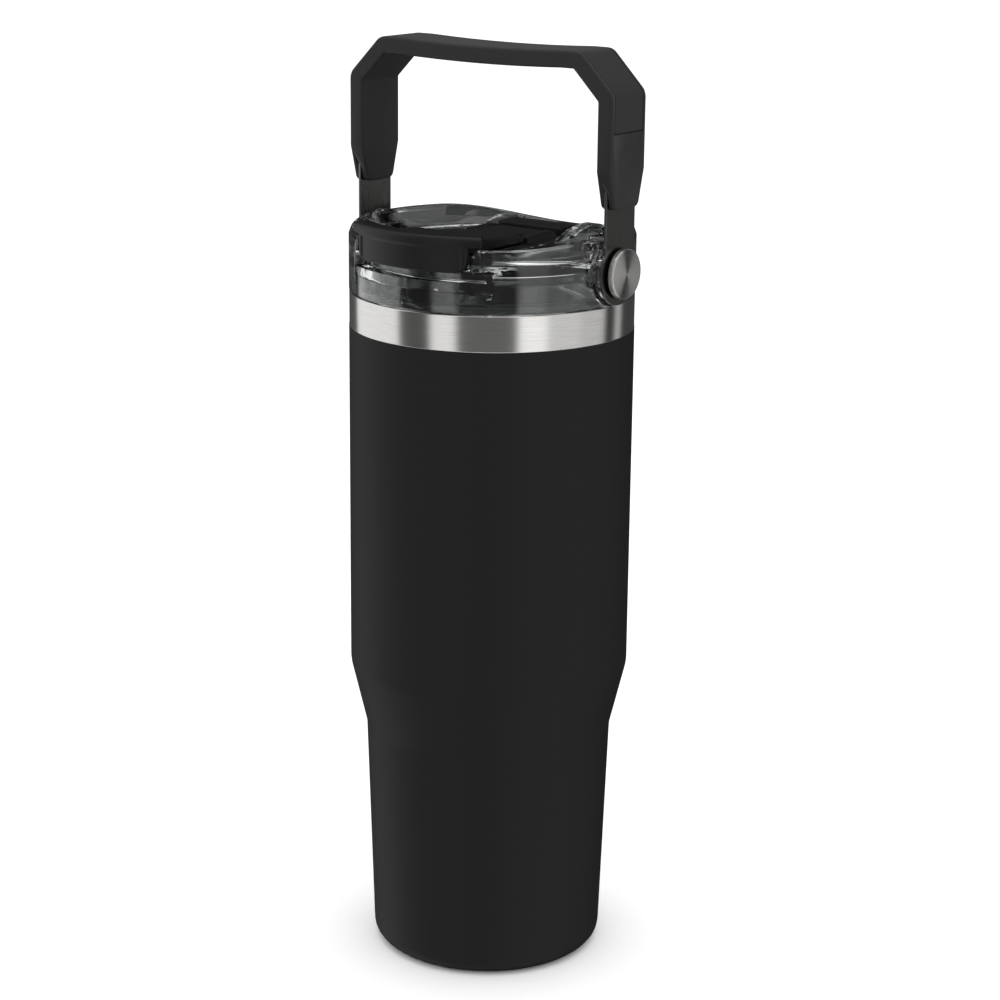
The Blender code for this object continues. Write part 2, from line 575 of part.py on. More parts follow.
def make_pivots(spun_steel, dark_nylon, insert_steel):
    """Shoulder screw, washer and threaded insert at each end of the bail."""
    rim = 0.0008
    pieces = []
    for side, name in SIDES:
        place = Vector((side * BAIL_X, 0.0, BAIL_PIVOT_Z))
        turn = Matrix.Translation((0.0, 0.0, BAIL_PIVOT_Z)) @ Matrix.Rotation(
            side * pi / 2, 4, "Y")
        shapes = (
            ("pivot_screw", spun_steel, SMALL_ROUND + 8, [
                (0.0, HEAD_X[1]), (HEAD_R - rim, HEAD_X[1]),
                (HEAD_R - 0.3 * rim, HEAD_X[1] - 0.3 * rim), (HEAD_R, HEAD_X[1] - rim),
                (HEAD_R, HEAD_X[0]), (SHOULDER_R, HEAD_X[0]), (SHOULDER_R, SHOULDER_X),
                (SHANK_R, SHOULDER_X), (SHANK_R, SHANK_X), (0.0, SHANK_X)]),
            ("pivot_washer", dark_nylon, SMALL_ROUND, tube_outline(WASHER_R, WASHER_X)),
            ("pivot_insert", insert_steel, SMALL_ROUND, tube_outline(INSERT_R, INSERT_X)),
        )
        for label, finish, segments, outline in shapes:
            piece = turned(f"{label}_{name}", outline, finish, segments=segments)
            piece.data.transform(Matrix.Translation(-place) @ turn)
            piece.location = place
            pieces.append(piece)
    return pieces


# ---------------------------------------------------------------- the whole object

def clear_scene():
    for old in list(bpy.data.objects):
        bpy.data.objects.remove(old)


def main():
    clear_scene()
    paint = material("black powder coat", (0.016, 0.016, 0.016), 0.55)
    steel = material("stamped stainless steel", (0.50, 0.49, 0.48), 0.38, 1.0)
    bare_steel = material("brushed stainless steel", (0.62, 0.61, 0.60), 0.26, 1.0)
    clear = material("clear copolyester", (0.90, 0.92, 0.92), 0.06, alpha=0.35)
    inner_plastic = material("smoke copolyester", (0.55, 0.57, 0.57), 0.15, alpha=0.6)
    silicone = material("grey silicone", (0.20, 0.20, 0.20), 0.6)
    black = material("black polypropylene", (0.014, 0.014, 0.015), 0.42)
    rubber = material("soft-touch overmould", (0.022, 0.022, 0.022), 0.7)
    pad_rubber = material("grip pad rubber", (0.018, 0.018, 0.018), 0.75)
    nylon = material("black nylon", (0.010, 0.010, 0.010), 0.5)
    spun_steel = material("spun stainless steel", (0.66, 0.65, 0.64), 0.22, 1.0)
    insert_steel = material("turned stainless steel", (0.48, 0.47, 0.46), 0.35, 1.0)

    lid_axis = empty("lid_axis", (0.0, 0.0, BODY_TOP))
    cap_axis = empty("cap_axis", CAP_PIVOT)
    bail_axis = empty("bail_axis", (0.0, 0.0, BAIL_PIVOT_Z))
    hang_on(lid_axis, cap_axis, bail_axis)

    make_body(paint, steel, bare_steel)
    lid = make_lid(clear, inner_plastic, silicone)
    cradle = make_cradle(black)
    cap, seal, pin = make_cap(black, silicone, steel)
    hang_on(lid_axis, *lid, cradle, pin, *make_pivots(spun_steel, nylon, insert_steel))
    hang_on(cap_axis, cap, seal)
    hang_on(bail_axis, *make_bail(steel, rubber, pad_rubber))


main()
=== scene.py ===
from math import atan2, cos, pi, radians, sin, tan

import bpy
from mathutils import Matrix, Vector


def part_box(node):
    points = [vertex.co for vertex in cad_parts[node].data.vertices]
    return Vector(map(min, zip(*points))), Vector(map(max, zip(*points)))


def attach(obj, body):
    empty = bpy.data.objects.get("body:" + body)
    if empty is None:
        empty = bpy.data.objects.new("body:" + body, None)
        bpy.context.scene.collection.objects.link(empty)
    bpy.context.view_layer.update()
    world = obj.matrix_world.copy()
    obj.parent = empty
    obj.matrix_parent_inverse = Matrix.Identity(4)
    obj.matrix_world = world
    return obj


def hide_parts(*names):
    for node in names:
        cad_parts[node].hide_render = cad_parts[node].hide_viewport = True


# Insulated travel mug with a clear screw lid, a flip-up sip cap and a carrying bail.
# Metres, +Z up. X is the bail's pivot axis and the sip cap faces -Y.
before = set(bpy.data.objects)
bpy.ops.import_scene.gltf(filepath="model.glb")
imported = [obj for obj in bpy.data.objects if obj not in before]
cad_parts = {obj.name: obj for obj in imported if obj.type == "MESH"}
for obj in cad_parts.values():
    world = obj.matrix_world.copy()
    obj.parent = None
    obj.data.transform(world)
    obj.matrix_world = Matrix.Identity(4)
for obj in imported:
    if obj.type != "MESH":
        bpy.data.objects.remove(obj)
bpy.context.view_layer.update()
MM = 0.001


# ==== Camera ====
# A product view from the front right, a little above the lid, through a short telephoto
# lens. The tripod leans by half a degree.
view_azimuth = radians(36.151)
view_height = radians(15.575)
view_distance = 0.826845
aim = Vector((cos(view_azimuth) * 3.218 * MM, sin(view_azimuth) * 3.218 * MM, 153.074 * MM))
eye = aim + view_distance * Vector((sin(view_azimuth) * cos(view_height),
                                    -cos(view_azimuth) * cos(view_height), sin(view_height)))
lean = radians(0.591)

camera_data = bpy.data.cameras.new("camera")
camera_data.lens = 90.46
camera_data.sensor_width = 36.0
camera = bpy.data.objects.new("camera", camera_data)
bpy.context.scene.collection.objects.link(camera)
looking = (aim - eye).to_track_quat("-Z", "Y").to_matrix().to_4x4()
camera.matrix_world = Matrix.Translation(eye) @ looking @ Matrix.Rotation(lean, 4, "Z")
bpy.context.scene.camera = camera


# ==== Studio ====
# A pale table under a large soft light, with tall soft boxes and dark flags round the
# object. Steel and clear plastic show the boxes and flags as upright stripes.
def linear(code):
    """The linear RGBA colour of an sRGB hex code such as "#24262a"."""
    values = [int(code[start:start + 2], 16) / 255 for start in (1, 3, 5)]
    return [v / 12.92 if v <= 0.04045 else ((v + 0.055) / 1.055) ** 2.4 for v in values] + [1.0]


def add_node(tree, kind, settings=None, links=None):
    """Adds a node, sets its properties and inputs, and links its inputs to other sockets."""
    node = tree.nodes.new(kind)
    for key, value in (settings or {}).items():
        if key in node.bl_rna.properties.keys():
            setattr(node, key, value)
        else:
            node.inputs[key].default_value = value
    for key, source in (links or {}).items():
        tree.links.new(source, node.inputs[key])
    return node


# Each stripe starts at this many degrees from the view direction, anticlockwise from above,
# and has this brightness. The edges between them are a few degrees soft.
stripes = ((-180, 0.10), (-137, 1.15), (-79, 0.11), (-50, 1.15), (-28, 0.17), (21, 1.35),
           (45, 0.85), (75, 0.72), (102, 0.02), (116, 0.60), (126, 0.06))
stripe_edge = 2.5

world = bpy.data.worlds.new("studio")
bpy.context.scene.world = world
world.use_nodes = True
tree = world.node_tree
tree.nodes.clear()
toward_camera = atan2(-cos(view_azimuth), sin(view_azimuth))
direction = add_node(tree, "ShaderNodeTexCoord")
turned_to_view = add_node(tree, "ShaderNodeMapping",
                          {"vector_type": "POINT", "Rotation": (0.0, 0.0, -toward_camera)},
                          {"Vector": direction.outputs["Generated"]})
parts = add_node(tree, "ShaderNodeSeparateXYZ", {}, {0: turned_to_view.outputs[0]})
bearing = add_node(tree, "ShaderNodeMath", {"operation": "ARCTAN2"},
                   {0: parts.outputs["Y"], 1: parts.outputs["X"]})
along = add_node(tree, "ShaderNodeMapRange", {"From Min": -pi, "From Max": pi},
                 {"Value": bearing.outputs[0]})
ring = add_node(tree, "ShaderNodeValToRGB", {}, {"Fac": along.outputs[0]})
stops = ring.color_ramp.elements
last_level = stripes[-1][1]
stops[0].position = 0.0
stops[0].color = (last_level, last_level, last_level, 1.0)
stops[1].position = 1.0
stops[1].color = (last_level, last_level, last_level, 1.0)
for (start, level), (after, next_level) in zip(stripes, stripes[1:]):
    for place, value in ((after - stripe_edge, level), (after + stripe_edge, next_level)):
        stop = stops.new((place + 180) / 360)
        stop.color = (value, value, value, 1.0)
overhead = add_node(tree, "ShaderNodeMapRange",
                    {"From Min": sin(radians(40)), "From Max": sin(radians(75)),
                     "interpolation_type": "SMOOTHSTEP"}, {"Value": parts.outputs["Z"]})
ceiling_level = 0.30
with_ceiling = add_node(tree, "ShaderNodeMix",
                        {"data_type": "RGBA", 7: (ceiling_level, ceiling_level, ceiling_level, 1.0)},
                        {0: overhead.outputs[0], 6: ring.outputs[0]})
ray = add_node(tree, "ShaderNodeLightPath")
fill_level = 1.35                         # soft fill that only matt surfaces gather
filled = add_node(tree, "ShaderNodeMix",
                  {"data_type": "RGBA", 7: (fill_level, fill_level, fill_level, 1.0)},
                  {0: ray.outputs["Is Diffuse Ray"], 6: with_ceiling.outputs[2]})
seen = add_node(tree, "ShaderNodeMix", {"data_type": "RGBA", 7: (1.0, 1.0, 1.0, 1.0)},
                {0: ray.outputs["Is Camera Ray"], 6: filled.outputs[2]})
sky = add_node(tree, "ShaderNodeBackground", {"Strength": 1.0}, {"Color": seen.outputs[2]})
add_node(tree, "ShaderNodeOutputWorld", {}, {"Surface": sky.outputs[0]})

bpy.context.scene.view_settings.view_transform = "Standard"

bpy.ops.object.select_all(action="DESELECT")
bpy.ops.mesh.primitive_plane_add(size=8.0, location=(0.0, 0.0, 0.0))
table = bpy.context.object
table.name = "table_top"
table.visible_glossy = False
table.visible_diffuse = False
table.visible_transmission = False
white_table = bpy.data.materials.new("matt white table")
white_table.use_nodes = True
table_shader = white_table.node_tree.nodes["Principled BSDF"]
table_shader.inputs["Base Color"].default_value = linear("#f2f2f2")
table_shader.inputs["Roughness"].default_value = 0.9
table_shader.inputs["Specular IOR Level"].default_value = 0.0
table.data.materials.append(white_table)

bpy.ops.object.select_all(action="DESELECT")
bpy.ops.object.light_add(type="AREA", location=(0.0, 0.0, 1.30))
top_light = bpy.context.object
top_light.name = "top_light"
top_light.data.shape = "DISK"
top_light.data.size = 1.20
top_light.data.energy = 4.0


# ==== Outer shell ====
# The outer wall is drawn and spun from 0.8 mm stainless sheet, blasted and powder-coated
# black. The coat stops in a thin step below a band that is left bare and brushed.
WELD = 0.001 * MM
ROUND = 192                     # facets of a large turned piece


def draw(name, points, closed=True):
    """A wire outline through the points, in edit mode, drawn by extruding one vertex."""
    bpy.ops.object.select_all(action="DESELECT")
    bpy.ops.mesh.primitive_plane_add(size=MM, location=(0.0, 0.0, 0.0), enter_editmode=True)
    piece = bpy.context.object
    piece.name = name
    piece.data.name = name
    bpy.ops.mesh.merge(type="CENTER")
    bpy.ops.transform.translate(value=points[0])
    ends = points[1:] + points[:1] if closed else points[1:]
    for start, end in zip(points, ends):
        bpy.ops.mesh.extrude_region_move(TRANSFORM_OT_translate={"value": end - start})
    bpy.ops.mesh.select_all(action="SELECT")
    bpy.ops.mesh.remove_doubles(threshold=WELD)


def close_up(sharp=32):
    """Merges doubles, turns the faces outwards and goes back to object mode."""
    bpy.ops.mesh.select_all(action="SELECT")
    bpy.ops.mesh.remove_doubles(threshold=WELD)
    bpy.ops.mesh.normals_make_consistent(inside=False)
    bpy.ops.object.mode_set(mode="OBJECT")
    bpy.ops.object.shade_smooth_by_angle(angle=radians(sharp))
    return bpy.context.object


def turn(name, outline, steps=ROUND, axis="Z", centre=(0.0, 0.0, 0.0)):
    """A turned piece. The outline is a loop of (radius, height); one from axis to axis is open."""
    along, across = {"Z": (Vector((0, 0, 1)), Vector((1, 0, 0))),
                     "X": (Vector((1, 0, 0)), Vector((0, 1, 0)))}[axis]
    points = [Vector(centre) + along * height + across * radius for radius, height in outline]
    draw(name, points, closed=outline[0][0] > WELD)
    bpy.ops.mesh.spin(steps=steps, angle=2 * pi, center=centre, axis=along)
    return close_up()


def rounded(corners, steps=6):
    """The closed outline through (a, b, radius) corners, each with a radius made an arc."""
    points = []
    for index, (a, b, radius) in enumerate(corners):
        here = Vector((a, b))
        if radius == 0:
            points.append(here)
            continue
        before = (Vector(corners[index - 1][:2]) - here).normalized()
        after = (Vector(corners[(index + 1) % len(corners)][:2]) - here).normalized()
        half = before.angle(after) / 2
        centre = here + (before + after).normalized() * (radius / sin(half))
        spoke = here + before * (radius / tan(half)) - centre
        sweep = (pi - 2 * half) * (1 if before.cross(after) < 0 else -1)
        points += [centre + Matrix.Rotation(sweep * step / steps, 2) @ spoke
                   for step in range(steps + 1)]
    return points


def in_mm(corners):
    """The same (a, b, radius) corners, in metres."""
    return [(a * MM, b * MM, radius * MM) for a, b, radius in corners]


def new_material(name, settings):
    """A material with a Principled shader, and that shader, with its inputs set."""
    made = bpy.data.materials.new(name)
    made.use_nodes = True
    shader = made.node_tree.nodes["Principled BSDF"]
    for key, value in settings.items():
        shader.inputs[key].default_value = value
    return made, made.node_tree, shader


def finish_with(piece, body, slot, *materials, stands_for=()):
    """Gives a new piece its materials and its body, and hides the CAD nodes it stands for. The slot
    is not used.
    """
    piece.data.materials.clear()
    for coat in materials:
        piece.data.materials.append(coat)
    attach(piece, body)
    if stands_for:
        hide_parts(*stands_for)


body_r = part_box("outer_shell")[1].x
steel_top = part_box("outer_shell")[1].z
band_low = steel_top - 11.2 * MM          # the coat's edge
band_r = body_r - 0.10 * MM               # the bare steel lies below the coat
sheet = 0.8 * MM                          # thickness of the steel

foot = [(27.0, 0.0, 0.0), (38.2, 0.0, 5.5), (40.75, 77.4, 9.0), (46.0, 99.3, 14.0)]
shell = turn("shell", rounded(in_mm(foot) + [
    (body_r, band_low - 0.10 * MM, 0.08 * MM), (band_r, band_low, 0.0),
    (band_r, steel_top, 0.55 * MM), (body_r - 2.6 * MM, steel_top, 0.0),
    (body_r - 2.6 * MM, steel_top - sheet, 0.0), (body_r - sheet, steel_top - sheet, 0.3 * MM),
] + in_mm([(45.2, 99.5, 13.0), (39.95, 77.6, 9.5), (37.4, 0.8, 4.7), (27.0, 0.8, 0.0)])))

# Powder coat, electrostatically sprayed polyester baked at 200 degrees: matt, near black,
# with a faint orange peel of about a millimetre and a finer grain in its gloss.
coat, tree, shader = new_material("black powder coat", {
    "Base Color": linear("#161617"), "Roughness": 0.52, "Specular IOR Level": 0.08})
place = add_node(tree, "ShaderNodeTexCoord")
peel = add_node(tree, "ShaderNodeTexNoise", {"Scale": 1 / (1.1 * MM), "Detail": 2.0},
                {"Vector": place.outputs["Object"]})
grain = add_node(tree, "ShaderNodeTexNoise", {"Scale": 1 / (0.35 * MM), "Detail": 3.0},
                 {"Vector": place.outputs["Object"]})
gloss = add_node(tree, "ShaderNodeMapRange", {"To Min": 0.46, "To Max": 0.58},
                 {"Value": grain.outputs["Fac"]})
tree.links.new(gloss.outputs[0], shader.inputs["Roughness"])
tone = add_node(tree, "ShaderNodeValToRGB", {}, {"Fac": grain.outputs["Fac"]})
tone.color_ramp.elements[0].color = linear("#18181a")
tone.color_ramp.elements[1].color = linear("#1d1d1e")
tree.links.new(tone.outputs[0], shader.inputs["Base Color"])
bump = add_node(tree, "ShaderNodeBump", {"Strength": 0.20, "Distance": 0.02 * MM},
                {"Height": peel.outputs["Fac"]})
tree.links.new(bump.outputs[0], shader.inputs["Normal"])

# Brushed 18/8 stainless, belt-polished on a lathe: fine scratches run round the mug, so
# reflections smear up and down and stay sharp sideways.
brushed, tree, shader = new_material("brushed stainless steel", {
    "Base Color": linear("#cdccca"), "Metallic": 1.0, "Roughness": 0.22,
    "Anisotropic": 0.75, "Anisotropic Rotation": 0.25})
place = add_node(tree, "ShaderNodeTexCoord")
parts = add_node(tree, "ShaderNodeSeparateXYZ", {}, {0: place.outputs["Object"]})
turn_angle = add_node(tree, "ShaderNodeMath", {"operation": "ARCTAN2"},
                      {0: parts.outputs["Y"], 1: parts.outputs["X"]})
scratch_length = 12 * MM
scratch_pitch = 0.16 * MM                 # real scratches are finer than this shows
around = add_node(tree, "ShaderNodeMath", {"operation": "MULTIPLY", 1: body_r / scratch_length},
                  {0: turn_angle.outputs[0]})
upward = add_node(tree, "ShaderNodeMath", {"operation": "MULTIPLY", 1: 1 / scratch_pitch},
                  {0: parts.outputs["Z"]})
unrolled = add_node(tree, "ShaderNodeCombineXYZ", {},
                    {"X": around.outputs[0], "Y": upward.outputs[0]})
scratches = add_node(tree, "ShaderNodeTexNoise", {"Scale": 1.0, "Detail": 4.0, "Roughness": 0.65},
                     {"Vector": unrolled.outputs[0]})
gloss = add_node(tree, "ShaderNodeMapRange", {"To Min": 0.18, "To Max": 0.26},
                 {"Value": scratches.outputs["Fac"]})
tree.links.new(gloss.outputs[0], shader.inputs["Roughness"])
tone = add_node(tree, "ShaderNodeValToRGB", {}, {"Fac": scratches.outputs["Fac"]})
tone.color_ramp.elements[0].color = linear("#c3c2c0")
tone.color_ramp.elements[0].position = 0.30
tone.color_ramp.elements[1].color = linear("#d8d7d5")
tone.color_ramp.elements[1].position = 0.70
tree.links.new(tone.outputs[0], shader.inputs["Base Color"])
bump = add_node(tree, "ShaderNodeBump", {"Strength": 0.12, "Distance": 0.006 * MM},
                {"Height": scratches.outputs["Fac"]})
tree.links.new(bump.outputs[0], shader.inputs["Normal"])
round_tangent = add_node(tree, "ShaderNodeTangent", {"direction_type": "RADIAL", "axis": "Z"})
tree.links.new(round_tangent.outputs[0], shader.inputs["Tangent"])

finish_with(shell, "mug", "powder_coat", coat, brushed, stands_for=["outer_shell"])
for face in shell.data.polygons:
    face.material_index = 1 if face.center.z > band_low - 0.06 * MM else 0


# ==== Liner ====
# The inner wall is a second drawn cup, welded to the shell under the lip, with rolled
# thread ridges for the lid. It is left bare, satin from the drawing press.
bore_r = 41.0
thread_r = bore_r - 0.5
liner = turn("liner", rounded(in_mm([
    (0.0, 8.7, 0.0), (26.9, 8.7, 2.0), (31.0, 9.2, 3.0), (34.4, 16.0, 6.0), (36.5, 76.4, 8.0),
    (41.8, 101.5, 8.0), (41.8, 220.2, 0.8), (43.1, 222.1, 0.3), (43.1, 223.7, 0.0),
    (42.2, 223.7, 0.4), (bore_r, 220.7, 1.2),
    (bore_r, 211.8, 0.4), (thread_r, 211.0, 0.3), (thread_r, 210.2, 0.3), (bore_r, 209.4, 0.4),
    (bore_r, 206.4, 0.4), (thread_r, 205.6, 0.3), (thread_r, 204.8, 0.3), (bore_r, 204.0, 0.4),
    (bore_r, 101.7, 8.0), (35.7, 77.4, 8.0), (33.6, 16.7, 5.0), (31.0, 10.6, 3.0),
    (26.9, 9.5, 2.0), (0.0, 9.5, 0.0)]), steps=4))
finish_with(liner, "mug", "bare_steel", brushed, stands_for=["inner_liner"])


# ==== Base plate ====
# A pressed steel disc closes the foot, with a small cap glued over the evacuation port.
# Both are pressed from sheet with a dull bead-blasted face.
base = turn("base", rounded(in_mm([
    (0.0, 3.0, 0.0), (6.4, 3.0, 0.6), (7.9, 2.0, 0.6), (24.0, 2.0, 0.8), (25.8, 0.4, 0.6),
    (26.7, 0.4, 0.15), (26.7, 1.6, 0.15), (24.4, 3.0, 0.6), (8.5, 3.0, 0.6), (7.0, 4.0, 0.6),
    (0.0, 4.0, 0.0)]), steps=4), steps=96)
blasted, tree, shader = new_material("bead-blasted stainless steel", {
    "Base Color": linear("#a9a8a6"), "Metallic": 1.0, "Roughness": 0.45})
place = add_node(tree, "ShaderNodeTexCoord")
pits = add_node(tree, "ShaderNodeTexNoise", {"Scale": 1 / (0.3 * MM), "Detail": 3.0},
                {"Vector": place.outputs["Object"]})
gloss = add_node(tree, "ShaderNodeMapRange", {"To Min": 0.38, "To Max": 0.52},
                 {"Value": pits.outputs["Fac"]})
tree.links.new(gloss.outputs[0], shader.inputs["Roughness"])
bump = add_node(tree, "ShaderNodeBump", {"Strength": 0.3, "Distance": 0.02 * MM},
                {"Height": pits.outputs["Fac"]})
tree.links.new(bump.outputs[0], shader.inputs["Normal"])
finish_with(base, "mug", "stamped_steel", blasted, stands_for=["base_plate"])


def refinish(node, coat):
    """Gives a CAD node that keeps its shape a better material."""
    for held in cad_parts[node].material_slots:
        held.material = coat


refinish("vacuum_cap", blasted)


# ==== Lid cover ====
# The cover is one clear copolyester moulding: a rim that dips at the back, a deck with a
# slot for the cap's hinge, cheeks beside the hinge and a boss for each end of the bail.
rim_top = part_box("lid_cover")[1].z
deck_top = 238.2 * MM
pivot_z = 234.3 * MM
pivot = Vector((0.0, 0.0, pivot_z))


def prism(name, outline, across, start, end):
    """A bar with a flat outline of (a, b) points, extruded across X, Y or Z."""
    place = {"X": lambda a, b: Vector((start, a, b)), "Y": lambda a, b: Vector((a, start, b)),
             "Z": lambda a, b: Vector((a, b, start))}[across]
    draw(name, [place(a, b) for a, b in outline])
    bpy.ops.mesh.edge_face_add()
    reach = Vector([end - start if axis == across else 0.0 for axis in "XYZ"])
    bpy.ops.mesh.extrude_region_move(TRANSFORM_OT_translate={"value": reach})
    return close_up()


def box_outline(low_a, low_b, high_a, high_b, radius=0.0):
    """A rectangle, its corners rounded by the radius."""
    return rounded([(low_a, low_b, radius), (high_a, low_b, radius),
                    (high_a, high_b, radius), (low_a, high_b, radius)])


def circle(a, b, radius, steps=48):
    """The points of a circle."""
    return [(a + radius * cos(2 * pi * step / steps), b + radius * sin(2 * pi * step / steps))
            for step in range(steps)]


def combine(piece, operation, *others):
    """Joins the other shapes to the piece, or cuts them away, and deletes them."""
    for other in others:
        step = piece.modifiers.new("combine", "BOOLEAN")
        step.operation = operation
        step.solver = "MANIFOLD"
        step.object = other
        bpy.context.view_layer.objects.active = piece
        bpy.ops.object.modifier_apply(modifier=step.name)
        bpy.data.objects.remove(other)


def soften(piece, width, angle=35, segments=3):
    """Rounds the sharp edges of a finished shape."""
    step = piece.modifiers.new("soft edges", "BEVEL")
    step.width = width
    step.segments = segments
    step.limit_method = "ANGLE"
    step.angle_limit = radians(angle)
    bpy.context.view_layer.objects.active = piece
    bpy.ops.object.modifier_apply(modifier=step.name)
    bpy.ops.object.select_all(action="DESELECT")
    piece.select_set(True)
    bpy.ops.object.shade_smooth_by_angle(angle=radians(angle))


skirt_r = 43.2
cover = turn("cover", rounded(in_mm([
    (0.0, 235.4, 0.0), (41.6, 235.4, 1.2), (skirt_r, 232.6, 2.0),
    (skirt_r, 224.0, 0.3), (46.0, 224.0, 0.35), (46.0, 242.2, 0.8), (45.2, 244.6, 0.9),
    (43.6, 244.6, 0.5), (42.5, 240.8, 1.5), (40.9, 238.2, 0.9), (0.0, 238.2, 0.0)]), steps=4))

# The rim is pushed down in a long dip at the back, and a little under the cap at the front.
dip_depth = 5.2 * MM
dip_reach = radians(61)
front_drop = 1.0 * MM
front_low = radians(45)                   # the drop fades out between these two bearings
front_high = radians(75)
rim_height = rim_top - deck_top
above_deck = deck_top + 0.3 * MM
rim_inside = 38.0 * MM
for vertex in cover.data.vertices:
    if vertex.co.z < above_deck or vertex.co.xy.length < rim_inside:
        continue
    from_back = abs(atan2(vertex.co.x, vertex.co.y))
    rise = min(max((pi - from_back - front_low) / (front_high - front_low), 0.0), 1.0)
    dip = front_drop * (1 - rise * rise * (3 - 2 * rise))
    if from_back < dip_reach:
        dip = dip_depth * (1 + cos(pi * from_back / dip_reach)) / 2
    vertex.co.z = deck_top + (vertex.co.z - deck_top) * (1 - dip / rim_height)

for side in (1, -1):
    boss = prism("boss", circle(0.0, pivot_z, 10.6 * MM), "X", side * 43.0 * MM, side * 46.0 * MM)
    step = prism("step", circle(0.0, pivot_z, 9.0 * MM), "X", side * 44.0 * MM, side * 47.6 * MM)
    seat = prism("seat", circle(0.0, pivot_z, 6.4 * MM), "X", side * 39.2 * MM, side * 44.0 * MM)
    cheek = prism("cheek", rounded(in_mm([
        (15.5, 237.0, 0.0), (15.5, 238.2, 0.2), (21.0, 240.6, 4.0), (27.5, 242.3, 5.0),
        (35.0, 242.3, 2.5), (37.0, 239.5, 1.5), (37.0, 237.0, 0.0)])), "X",
        side * 13.1 * MM, side * 18.6 * MM)
    combine(cover, "UNION", boss, step, seat, cheek)
    hole = prism("hole", circle(0.0, pivot_z, 3.9 * MM), "X", side * 38.0 * MM, side * 49.0 * MM)
    combine(cover, "DIFFERENCE", hole)


def sector(low_r, high_r, half_angle, steps=36):
    """A ring sector in plan, centred on -Y."""
    turns = [-pi / 2 - half_angle + 2 * half_angle * step / steps for step in range(steps + 1)]
    return ([(high_r * cos(turn), high_r * sin(turn)) for turn in turns]
            + [(low_r * cos(turn), low_r * sin(turn)) for turn in reversed(turns)])


# Behind the recess the rim goes on as a thin wall, open in the middle for the cap's neck.
front_wall = prism("front_wall", sector(39.6 * MM, 43.8 * MM, radians(36.5)), "Z",
                   230.0 * MM, 242.4 * MM)
combine(cover, "UNION", front_wall)

# The cuts start well under the deck and end well over the rim.
cut_low = 230.0 * MM
cut_high = 250.0 * MM
neck_half = 16.4 * MM
neck_slot = prism("neck_slot", box_outline(-neck_half, -46.0 * MM, neck_half, -30.0 * MM), "Z",
                  above_deck, cut_high)
recess_half = radians(34.2)
recess_floor = 233.8 * MM
recess = prism("recess", sector(40.9 * MM, 50.0 * MM, recess_half), "Z", recess_floor, cut_high)

# The recess's end walls lean in as they rise, by this much at the lowered front rim.
lean_at_rim = radians(3.4)
lean_height = 9.8 * MM
for vertex in recess.data.vertices:
    if vertex.co.z > deck_top:
        climb = (vertex.co.z - recess_floor) / lean_height
        from_front = atan2(vertex.co.x, -vertex.co.y) * (1 - climb * lean_at_rim / recess_half)
        reach = vertex.co.xy.length
        vertex.co.x = reach * sin(from_front)
        vertex.co.y = -reach * cos(from_front)
slot_half = 12.8 * MM
slot = prism("slot", box_outline(-slot_half, -26.9 * MM, slot_half, 31.3 * MM, 0.8 * MM), "Z",
             cut_low, cut_high)
sip_y = -31.0 * MM
sip_opening = box_outline(-8.0 * MM, sip_y - 3.0 * MM, 8.0 * MM, sip_y + 3.0 * MM, 2.9 * MM)
sip_hole = prism("sip_hole", sip_opening, "Z", cut_low, cut_high)
combine(cover, "DIFFERENCE", neck_slot, recess, slot, sip_hole)
soften(cover, 0.25 * MM, angle=40)

# Copolyester, injection-moulded and polished in the tool: water clear with a faint grey
# cast, and a very slight waviness that bends what is seen through it.
clear, tree, shader = new_material("clear copolyester", {
    "Base Color": linear("#e4e7e7"), "Roughness": 0.02, "IOR": 1.54,
    "Transmission Weight": 1.0})
place = add_node(tree, "ShaderNodeTexCoord")
flow = add_node(tree, "ShaderNodeTexNoise", {"Scale": 1 / (9.0 * MM), "Detail": 1.0},
                {"Vector": place.outputs["Object"]})
bump = add_node(tree, "ShaderNodeBump", {"Strength": 0.15, "Distance": 0.3 * MM},
                {"Height": flow.outputs["Fac"]})
tree.links.new(bump.outputs[0], shader.inputs["Normal"])
haze = add_node(tree, "ShaderNodeMapRange", {"To Min": 0.01, "To Max": 0.04},
                {"Value": flow.outputs["Fac"]})
tree.links.new(haze.outputs[0], shader.inputs["Roughness"])
finish_with(cover, "lid", "clear_plastic", clear, stands_for=["lid_cover"])


# ==== Lid plug ====
# The plug is a clear cup welded under the cover. It carries the thread ridges, the gasket's
# groove and a duct that leads the drink up to the sip hole.
plug_r = 38.6
ridge_r = 40.2
plug_floor = 203.8
plug = turn("plug", rounded(in_mm([
    (0.0, plug_floor, 0.0), (plug_r, plug_floor, 1.4), (plug_r, 208.0, 0.4), (ridge_r, 208.8, 0.3),
    (ridge_r, 209.4, 0.3), (plug_r, 210.2, 0.4), (plug_r, 214.0, 0.4), (ridge_r, 214.8, 0.3),
    (ridge_r, 215.4, 0.3), (plug_r, 216.2, 0.4), (plug_r, 218.2, 0.2), (36.8, 218.2, 0.2),
    (36.8, 222.2, 0.2), (plug_r, 222.2, 0.2), (plug_r, 224.0, 0.3), (42.9, 224.0, 0.3),
    (42.9, 226.2, 0.3), (34.6, 226.2, 0.5), (34.6, 205.8, 1.2), (0.0, 205.8, 0.0)]), steps=3))
duct = prism("duct", box_outline(-9.0 * MM, sip_y - 4.0 * MM, 9.0 * MM, sip_y + 4.0 * MM,
                                 3.9 * MM), "Z", 204.5 * MM, 235.1 * MM)
combine(plug, "UNION", duct)
duct_bore = prism("duct_bore", sip_opening, "Z", 200.0 * MM, 240.0 * MM)
vent_hole = prism("vent_hole", circle(0.0, 20.0 * MM, 1.6 * MM, steps=24), "Z",
                  203.0 * MM, 207.0 * MM)
combine(plug, "DIFFERENCE", duct_bore, vent_hole)
finish_with(plug, "lid", "clear_plastic", clear, stands_for=["lid_plug"])


